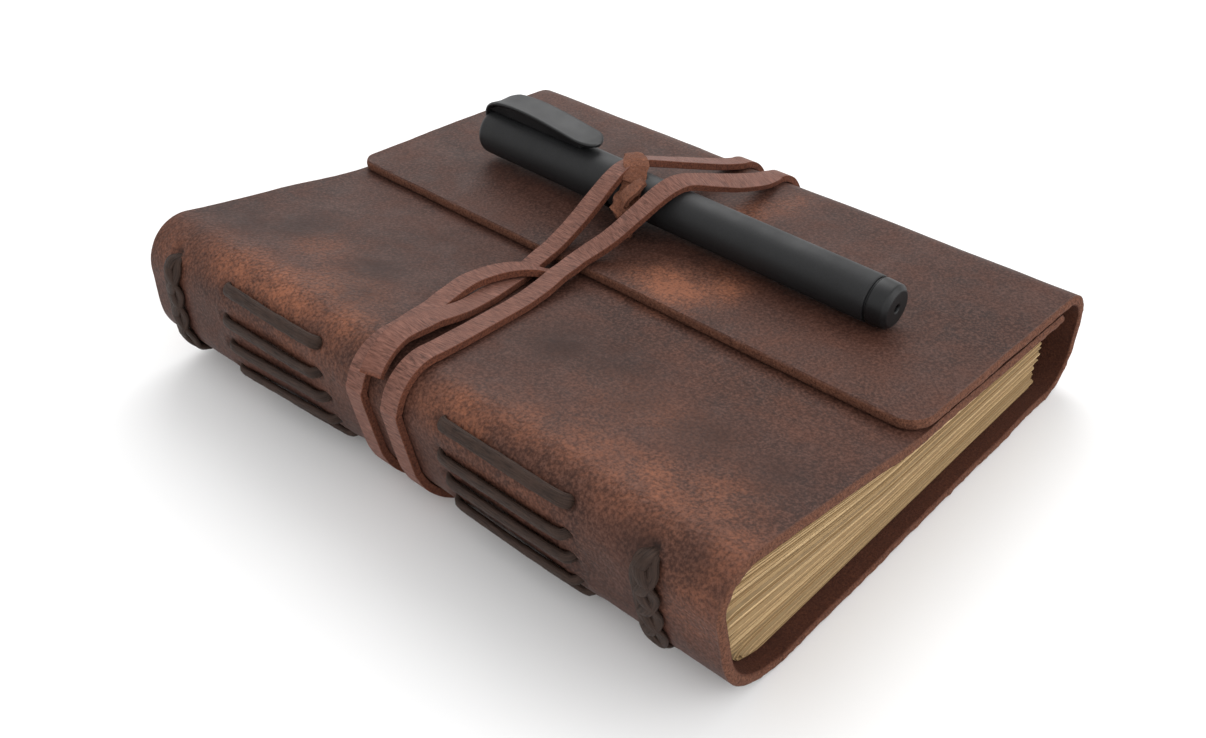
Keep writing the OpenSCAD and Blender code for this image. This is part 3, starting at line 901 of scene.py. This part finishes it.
def bridge(y_edge, y_pen, wrap):
    """Over the flap's edge, over the pen, and round the fore-edge to just under the book."""
    span = PEN_BRIDGE[-1][0] - PEN_BRIDGE[0][0]
    points = []
    for x, z in PEN_BRIDGE:
        s = (x - PEN_BRIDGE[0][0]) / span
        points.append((x, y_edge * (1 - s) ** 2 + 2 * y_pen * s * (1 - s) + wrap[0] * s * s, z))
    r = FORE_R + STRAP_LIFT
    fore = arc(FORE_TOP, r, FLAP_ANGLE - 8, 0, 11) + arc(FORE_LOW, r, -8, -56, 10)
    points += [(x, wrap[0], z) for x, z in fore]
    points += [(x, wrap_y(wrap, x), STRAP_T + 0.1) for x in (70, 64, 57)]
    return points


def spine_climb(wrap):
    """From just under the book up the spine."""
    points = [(x, wrap_y(wrap, x), STRAP_T + 0.1) for x in (-46, -53, -60)]
    low = arc(SPINE_LOW, SPINE_LOW_R + STRAP_LIFT, 243, TANGENT, 8)
    top = arc(SPINE_TOP, SPINE_TOP_R + STRAP_LIFT, TANGENT - 14, COVER_ANGLE + 8, 12)
    return points + [(x, wrap[1], z) for x, z in low + top]


def under_run(wrap, height):
    """A wrap's flat run under the book, pressed thin in its middle, where the two cross."""
    stops = [(57, STRAP_T + 0.1, 1), (44, STRAP_T + 0.1, 1), (31, height, PRESSED_T / STRAP_T),
             (-26, height, PRESSED_T / STRAP_T), (-38, STRAP_T + 0.1, 1), (-46, STRAP_T + 0.1, 1)]
    points, thick = [], []
    for (x0, z0, t0), (x1, z1, t1) in zip(stops, stops[1:]):
        for i in range(8):
            s = i / 8
            x = x0 + (x1 - x0) * s
            points.append(Vector((x, wrap_y(wrap, x), z0 + (z1 - z0) * s)))
            thick.append(t0 + (t1 - t0) * s)
    points.append(Vector((stops[-1][0], wrap_y(wrap, stops[-1][0]), stops[-1][1])))
    thick.append(1)
    return points, thick


def lay_strap(name, run, nodes):
    """A strand swept along a run, with the nodes that it stands for hidden and its place baked into its
    points.
    """
    piece = ribbon(name, [run], STRAP_LOOK, True, STRAP_CREASE)
    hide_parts(*nodes)
    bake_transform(piece)


def make_under_straps():
    heights = {"first": (FIRST_WRAP, PRESSED_T + 0.1), "second": (SECOND_WRAP, 2 * PRESSED_T + 0.2)}
    for which, (wrap, height) in heights.items():
        path, thick = under_run(wrap, height)
        points, n = [], len(STRIP)
        for i, p in enumerate(path):
            side, up = squared(path, i, Vector((0, 1, 0)))
            points += [p + side * a + up * b * thick[i] for a, b in STRIP]
        faces = tube_faces(len(path), n)
        place = [(p.x, p.y, 3) for p in points]
        cut = [float(m not in STRIP_TOP) for m in range(n)] * len(path)
        piece = make_piece("strap_under_" + which, points, faces, STRAP_LOOK,
                           {"along": place, "cut": cut}, STRAP_CREASE)
        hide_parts("strap_wrap_" + which)
        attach(piece, "book")


def make_strap():
    """The strands that show: each is one run over the cover, the flap's edge and the pen, and
    the two long ones part where the flap opens away from the cover."""
    make_under_straps()
    stacked = STRAP_T + 0.15
    bend = arc(SPINE_TOP, SPINE_TOP_R + STRAP_LIFT + stacked, 143, COVER_ANGLE + 8, 10)
    tail = [(x, 2.7 + 0.3 * i, z) for i, (x, z) in enumerate(bend)] + on_cover([
        (-66, 4.5, stacked), (-62, 4.8, stacked), (-58, 5.2, 2.1), (-52, 6.4, 0.9),
        (-46, 7.7, 0.1), (-38, 9.4, 0), (-28, 12.2, 0), (-22, 14, 0), (-17.5, 15, 0.5),
        (-13, 15.4, 2)])
    roll = [14] * len(bend) + [10, 8, 4] + [0] * 10 + [-3, -8, -12, -8, -4, 0, 2, 0]
    tail, far = halves(strap_run(tail + bridge(15.4, 15, FIRST_WRAP), roll), STRAP_JOIN_X)
    first = spine_climb(FIRST_WRAP) + on_cover([
        (-66, -4, 0.1), (-58, -2.6, 0), (-46, -0.4, 0), (-34, 1.8, 0.1), (-24, 3.8, 0.9),
        (-17, 5.2, 2.2), (-12.5, 5.8, 2.9)])
    roll = [0] * (len(first) + 3) + [6, 10, 14, 16, 22, 30, 22, 10]
    first, near = halves(strap_run(first + bridge(6, -8, SECOND_WRAP), roll), STRAP_JOIN_X)
    second = spine_climb(SECOND_WRAP) + on_cover([
        (-66, 8.1, 0.1), (-60, 10, 0), (-52, 12.4, 0), (-46, 13.8, 0.9), (-38, 14.8, 2.3),
        (-30, 14.8, 2.5), (-24, 13.6, 2.4), (-20, 11.6, 1.9), (-16.6, 9.2, 0.5),
        (-14.4, 7.4, 0.1)])
    lay_strap("strap_far_over_pen", far, ["strap_wrap_first", "strap_over_pen"])
    lay_strap("strap_near_over_pen", near, ["strap_wrap_second", "strap_over_pen"])
    lay_strap("strap_near_on_cover", first, ["strap_wrap_first", "strap_turns_on_cover"])
    lay_strap("strap_far_on_cover", strap_run(second), ["strap_wrap_second", "strap_turns_on_cover"])
    lay_strap("strap_tail_strand", tail, ["strap_tail", "strap_tail_end"])


def suede_run(points, facing, widths, height, seed):
    """A torn strip: its width at each point, and its sides uneven."""
    path = curved(points, 0.45)
    n = len(path) - 1
    sides = []
    for i in range(n + 1):
        share = i / n * (len(widths) - 1)
        k = min(int(share), len(widths) - 2)
        width = widths[k] + (widths[k + 1] - widths[k]) * (share - k)
        width *= 1 + 0.14 * grain(i, seed, 0, 3.1, 5)
        sides.append(facing.normalized() * width)
    return path, sides, rounded_strip(1, height, 0.2)[::-1]


def swept(run):
    """Points and faces of a run whose sides carry its width."""
    path, sides, section = run
    points = []
    for i, p in enumerate(path):
        side, up = squared(path, i, sides[i])
        side *= sides[i].length
        rough = 0.22 * grain(p.x, p.y, p.z, 1.1, 7)
        points += [p + side * a + up * (b + rough) for a, b in section]
    return points, tube_faces(len(path), len(section))


def suede(name, parts, *nodes):
    """One crumpled piece that rides the flap, from (points, faces) parts."""
    points, faces = [], []
    for made, made_faces in parts:
        faces += [tuple(v + len(points) for v in f) for f in made_faces]
        points += made
    lift = [p + Vector([0.16 * grain(*p, 0.8, k) for k in (1, 2, 3)]) for p in points]
    piece = make_piece(name, lift, faces, ROOT_LOOK)
    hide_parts(*nodes)
    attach(piece, "flap")


def make_root():
    """The strap's fixed end: a torn strip of suede out of the flap's slit, up and over the far
    strand, with a knot at its foot."""
    up = suede_run([(10.6, 6.8, 34), (11.4, 7.3, 38), (13.2, 8.2, 42.4), (15, 9, 46), (17.4, 10, 48.6)],
                   Vector((0.25, -0.95, 0.1)), [3.6, 4.2, 5.2, 6, 6.4], 1.3, 3)
    over = suede_run([(16.6, 9.6, 48), (19.2, 10.4, 49.8), (20.8, 11.6, 51.1), (22.6, 13.6, 51.7),
                      (24.4, 15.7, 51.6), (26, 17.8, 50.7), (26.8, 19, 48.4)],
                     Vector((0.8, -0.6, 0)), [5.6, 6.4, 6.8, 6.4, 5.4, 4.4, 3.2], 1.1, 9)
    suede("strap_root_suede", [swept(up), swept(over)], "strap_root", "strap_over_pen")

    turns = [math.radians(a) for a in range(-30, 331, 12)]
    ring = [(12.9 + 1.8 * math.cos(a), 7.2 + 2.9 * math.sin(a), 43 + 1.5 * math.sin(a + 0.6))
            for a in turns]
    knot = [suede_run(ring, Vector((0.1, 0.1, 1)), [4, 3.2, 4.2, 3.4, 4], 1.9, 5),
            suede_run([(12.4, 6, 41), (11.2, 6.8, 43.4), (9.8, 7.6, 44.4), (8, 8.4, 43.2)],
                      Vector((0.6, 0.2, 0.7)), [3.2, 4, 4.2, 3.6], 1.5, 11),
            suede_run([(12, 8.8, 42), (12.2, 7.6, 45.4), (14.4, 6.6, 47.6), (17.4, 6, 48.9)],
                      Vector((0.5, 0.8, 0.2)), [3.2, 4.4, 4.4, 2.6], 1.4, 13)]
    suede("strap_knot_suede", [swept(run) for run in knot], "strap_knot", "strap_root")


# ---------- pen ----------

def eased(outline, reach=0.35):
    """The outline with its corners rounded over a reach on each side."""
    vs = [Vector(p) for p in outline]
    out = [vs[0]]
    for a, b, c in zip(vs, vs[1:], vs[2:]):
        before = b.lerp(a, min(0.45, reach / max((a - b).length, 1e-6)))
        after = b.lerp(c, min(0.45, reach / max((c - b).length, 1e-6)))
        for t in (0, 0.25, 0.5, 0.75, 1):
            out.append(before * (1 - t) ** 2 + b * 2 * t * (1 - t) + after * t * t)
    return out + [vs[-1]]


def on_pen(x, t, z):
    """A point of the pen, t from its tail end along its axis."""
    tilt = math.radians(PEN_TILT)
    return PEN_TAIL + Vector((x, t * math.cos(tilt) - z * math.sin(tilt),
                              t * math.sin(tilt) + z * math.cos(tilt)))


def turned(node, body, look, outline, reach=0.35):
    """A piece turned round the pen's axis from an outline of (length from the tail, radius).
    The outline's two ends are closed with flat faces."""
    sides = 72
    line = eased(outline, reach)
    points = [on_pen(r * math.sin(2 * math.pi * m / sides), t, r * math.cos(2 * math.pi * m / sides))
              for t, r in line for m in range(sides)]
    piece = make_piece(node + "_body", points, tube_faces(len(line), sides), look, crease=40)
    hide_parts(node)
    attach(piece, body)


def make_pen():
    b, c, mouth, end = BARREL_R, CAP_R, BARREL_L, PEN_L
    grip = mouth + 3
    turned("pen_end_plug", "pen", TRIM_LOOK, [
        (4, 0.9), (0.3, 1.0), (0, 1.3), (0, b - 1.5), (1.1, b - 0.3), (5.3, b - 0.12),
        (5.6, b - 0.5), (5.9, b - 0.5), (9.8, b - 1.3)])
    turned("pen_barrel", "pen", PEN_LOOK, [
        (10, b - 1.15), (6.1, b - 1.15), (6.1, b - 0.05), (8, b), (mouth - 0.4, b),
        (mouth, b - 0.3), (mouth, b - 1.15)])
    turned("pen_seat_ring", "pen", PEN_LOOK, [
        (mouth - 0.2, 3.6), (mouth - 0.1, b - 0.3), (mouth + 1.4, b - 0.2), (grip, b - 0.4),
        (grip, 3.6)], 0.2)
    turned("pen_grip", "pen", TRIM_LOOK, [
        (grip - 0.2, 2.4), (grip, 4.4), (grip + 1, 4.6), (grip + 8, 4.25), (grip + 16, 4.3),
        (grip + 22, 4.1), (grip + 27, 2.8), (grip + 29, 2.0), (grip + 29, 1.35)], 0.6)
    turned("pen_tip", "pen", STEEL_LOOK, [
        (grip + 20, 0.9), (grip + 20, 1.3), (grip + 30, 1.25), (grip + 30.6, 0.9),
        (grip + 32.2, 0.5), (grip + 32.6, 0.25)], 0.15)
    turned("pen_refill", "pen", REFILL_LOOK, [
        (12, 1.8), (12, 2.6), (mouth + 15, 2.6), (mouth + 17, 1.8)], 0.3)
    turned("pen_cap", "cap", PEN_LOOK, [
        (end - 5, c - 0.9), (mouth + 0.3, b + 0.05), (mouth + 0.1, c - 0.3),
        (mouth + 0.5, c - 0.05), (mouth + 8, c), (end - 1.2, c - 0.1), (end - 0.1, c - 0.7),
        (end, c - 3), (end + 0.1, 0.4)], 0.5)
    make_clip()


CLIP_W, CLIP_TURN = 10.2, 4
# The clip seen from its side: (length back from the cap's end, height above the pen's axis)
CLIP_LINE = [(0.3, 4.6), (0.6, 6.4), (1.9, 8.3), (4.6, 9.8), (9, 10.6), (15, 10.9), (22, 10.6),
             (30, 9.8), (36.5, 9.1), (41.4, 8.8)]


def leaning(across, t, height):
    """A point of the clip, turned a little round the pen towards +X."""
    lean = math.radians(CLIP_TURN)
    return on_pen(across * math.cos(lean) + height * math.sin(lean), t,
                  height * math.cos(lean) - across * math.sin(lean))


def make_clip():
    """A broad plate that rises over the cap's end and lies along its top to a round tip, with a
    rib under it."""
    line = curved([(0, PEN_L - t, v) for t, v in CLIP_LINE], 0.5)
    tip, foot, ring_n = CLIP_W / 2, 9.0, 16
    points = []
    for i, p in enumerate(line):
        up = Vector((1, 0, 0)).cross(heading(line, i))
        near_tip = max(0, min(1, (p.y - line[-1].y) / tip))
        near_foot = max(0, min(1, i * 0.5 / foot))
        half = CLIP_W / 2 * math.sqrt(max(0.02, 1 - (1 - near_tip) ** 2)) * (0.6 + 0.4 * near_foot)
        thick = 1.6 * (0.55 + 0.45 * min(1, near_tip * 2))
        for m in range(ring_n):
            a = 2 * math.pi * m / ring_n
            across = -math.copysign(abs(math.cos(a)) ** 0.55, math.cos(a)) * half
            rise = math.copysign(abs(math.sin(a)) ** 0.7, math.sin(a)) * thick / 2
            q = Vector((across, p.y, p.z)) + up * (rise - 0.035 * across ** 2)
            points.append(leaning(q.x, q.y, q.z))
    faces = tube_faces(len(line), ring_n)
    first = len(points)
    for t, v in CLIP_LINE[2:-1]:
        low, high = min(CAP_R + 0.15, v), v - 0.4
        for across, height in ((-2.4, low), (2.4, low), (3.2, high), (-3.2, high)):
            points.append(leaning(across, PEN_L - t, height))
    faces += tube_faces(len(CLIP_LINE) - 3, 4, first)
    piece = make_piece("pen_clip_body", points, faces, TRIM_LOOK, crease=60)
    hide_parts("pen_clip")
    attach(piece, "cap")


# ---------- studio ----------

def make_floor():
    """A plain pale floor just under the strap's lowest point."""
    mesh = bpy.data.meshes.new("floor")
    reach, height = 3000, -0.12
    mesh.from_pydata([Vector((x, y, height)) * MM for x, y in
                      ((-reach, -reach), (reach, -reach), (reach, reach), (-reach, reach))],
                     [], [(0, 1, 2, 3)])
    material, _, shader = new_material("pale_floor", Roughness=0.9, Specular_IOR_Level=0.1)
    shader.inputs["Base Color"].default_value = rgb(0.9, 0.9, 0.9)
    mesh.materials.append(material)
    floor = bpy.data.objects.new("floor", mesh)
    bpy.context.scene.collection.objects.link(floor)


def make_light(name, place, target, size, power):
    data = bpy.data.lights.new(name, "AREA")
    data.size, data.energy = size, power
    light = bpy.data.objects.new(name, data)
    light.location = Vector(place) * MM
    light.rotation_mode = "QUATERNION"
    light.rotation_quaternion = (Vector(target) - Vector(place)).to_track_quat("-Z", "Y")
    bpy.context.scene.collection.objects.link(light)


def make_studio():
    make_floor()
    make_light("key_light", (420, 380, 620), (0, 0, 20), 0.6, 2.9)
    make_light("fill_light", (-500, -420, 500), (0, 0, 20), 0.7, 1.0)
    make_light("near_light", (250, -600, 260), (0, -60, 20), 0.5, 1.5)
    world = bpy.data.worlds.new("white_studio")
    world.use_nodes = True
    world.node_tree.nodes["Background"].inputs[0].default_value = rgb(1, 1, 1)
    world.node_tree.nodes["Background"].inputs[1].default_value = 0.98
    bpy.context.scene.world = world
    bpy.context.scene.view_settings.view_transform = "Standard"


def make_camera():
    """The photo's view: from the near end, on the spine's side, looking down."""
    data = bpy.data.cameras.new("camera")
    data.lens = 37.0
    data.sensor_width = 36
    data.clip_start = 0.01
    camera = bpy.data.objects.new("camera", data)
    turn, tilt = math.radians(-47.87), math.radians(36.62)
    forward = Vector((-math.sin(turn) * math.cos(tilt), math.cos(turn) * math.cos(tilt), -math.sin(tilt)))
    camera.location = Vector((-207.2, -182.5, 205.3)) * MM
    camera.rotation_mode = "QUATERNION"
    camera.rotation_quaternion = forward.to_track_quat("-Z", "Y")
    bpy.context.scene.collection.objects.link(camera)
    bpy.context.scene.camera = camera


make_cover()
make_sections()
make_long_stitches()
make_chains()
make_inner_threads()
make_strap()
make_root()
make_pen()
make_studio()
make_camera()

bpy.context.view_layer.update()
